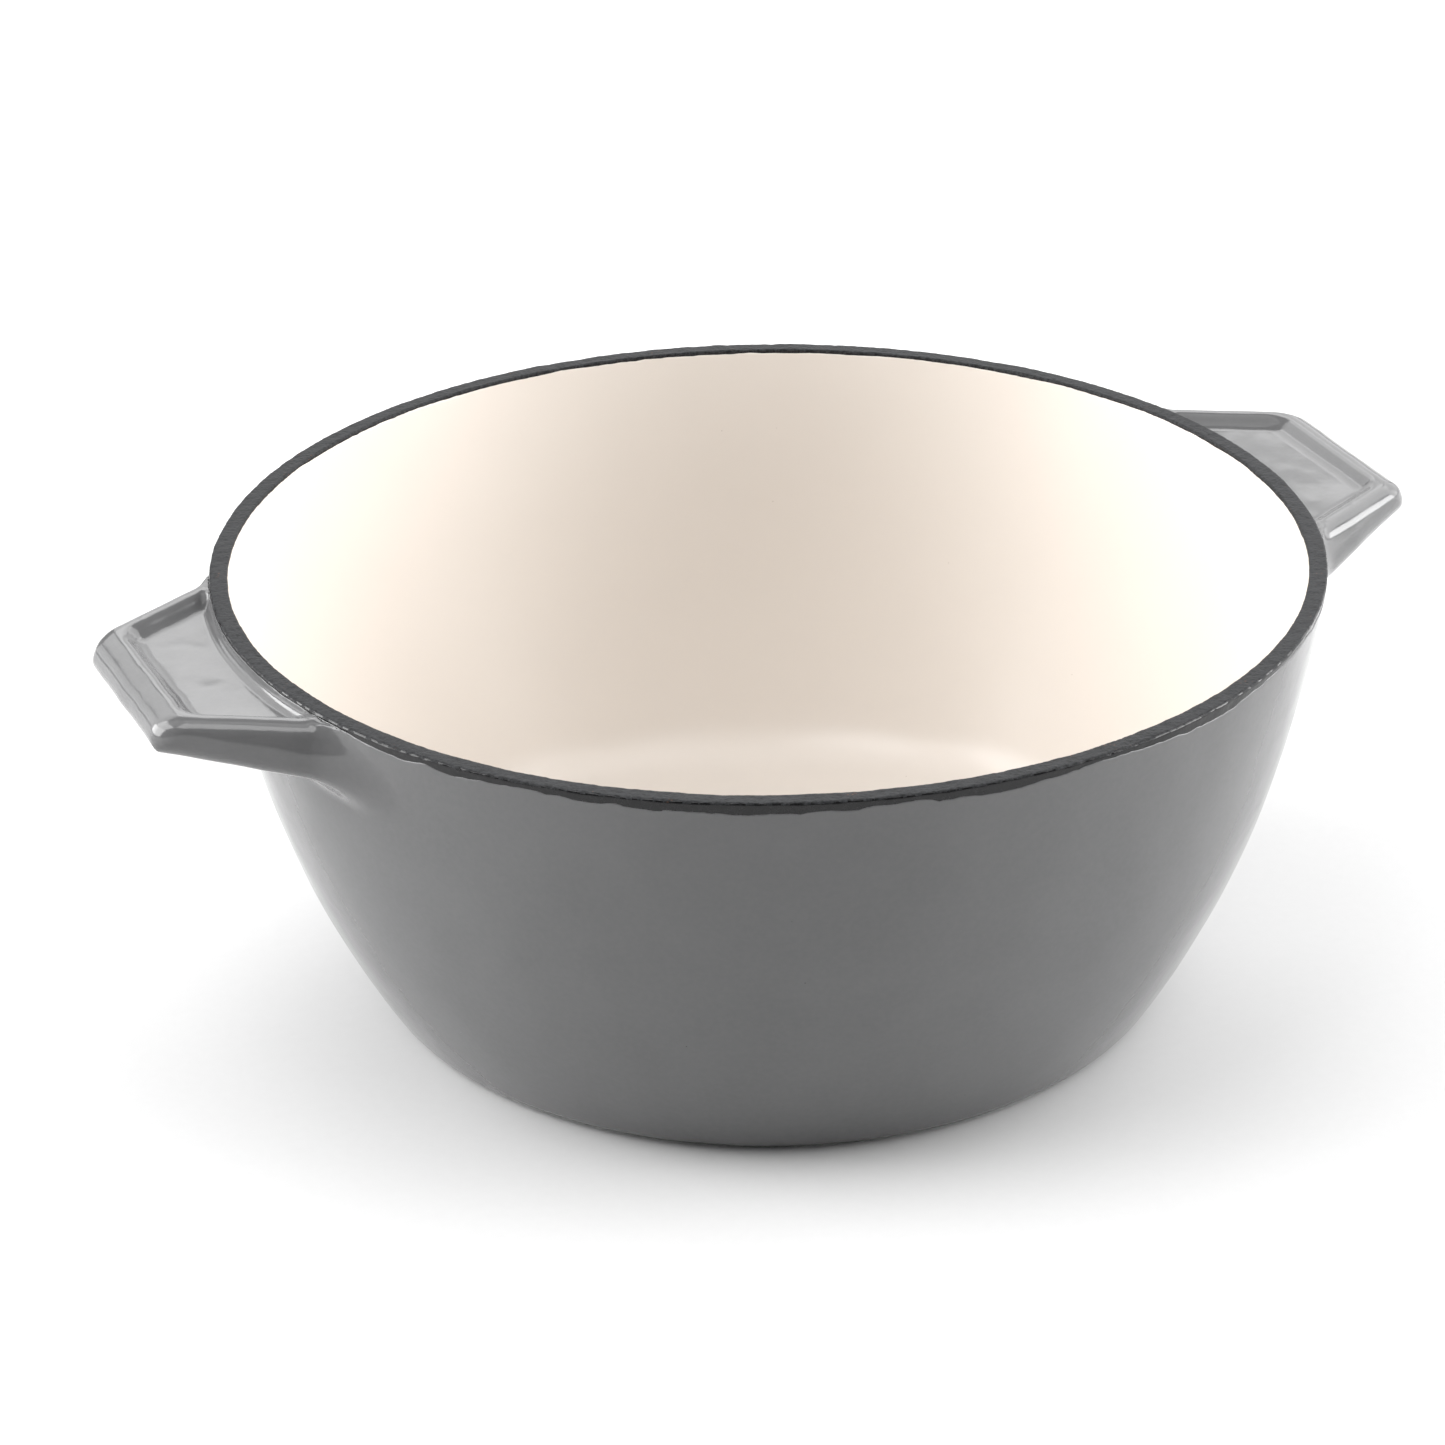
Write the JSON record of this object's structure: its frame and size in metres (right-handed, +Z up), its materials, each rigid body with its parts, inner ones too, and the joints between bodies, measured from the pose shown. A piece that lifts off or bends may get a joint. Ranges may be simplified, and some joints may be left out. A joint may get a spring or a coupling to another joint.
{
  "type": "dutch oven pot",
  "caption": "Open round cast iron dutch oven with tapering enamelled wall, matt black rim and a tray-topped lug handle on each side.",
  "frame": {"origin": "centre of the base, on the surface that the pot stands on", "axes": "+Z up, +X and -X through the two handles, +Y level across the rim between them"},
  "size_m": [0.341, 0.2796, 0.115],
  "materials": {
    "bare_iron": "sand cast iron, hidden under the enamel",
    "grey_enamel": "glossy grey vitreous enamel with a faint orange peel",
    "cream_enamel": "satin-gloss cream vitreous enamel with a few pinholes",
    "black_ground_coat": "matt black ground-coat enamel, grainy"
  },
  "bodies": {
    "root": {"pot_casting": "bare_iron", "left_handle_casting": "bare_iron", "right_handle_casting": "bare_iron", "interior_enamel": "cream_enamel", "exterior_enamel": "grey_enamel", "left_handle_enamel": "grey_enamel", "right_handle_enamel": "grey_enamel", "rim_coat": "black_ground_coat", "base_coat": "black_ground_coat"}
  },
  "joints": []
}
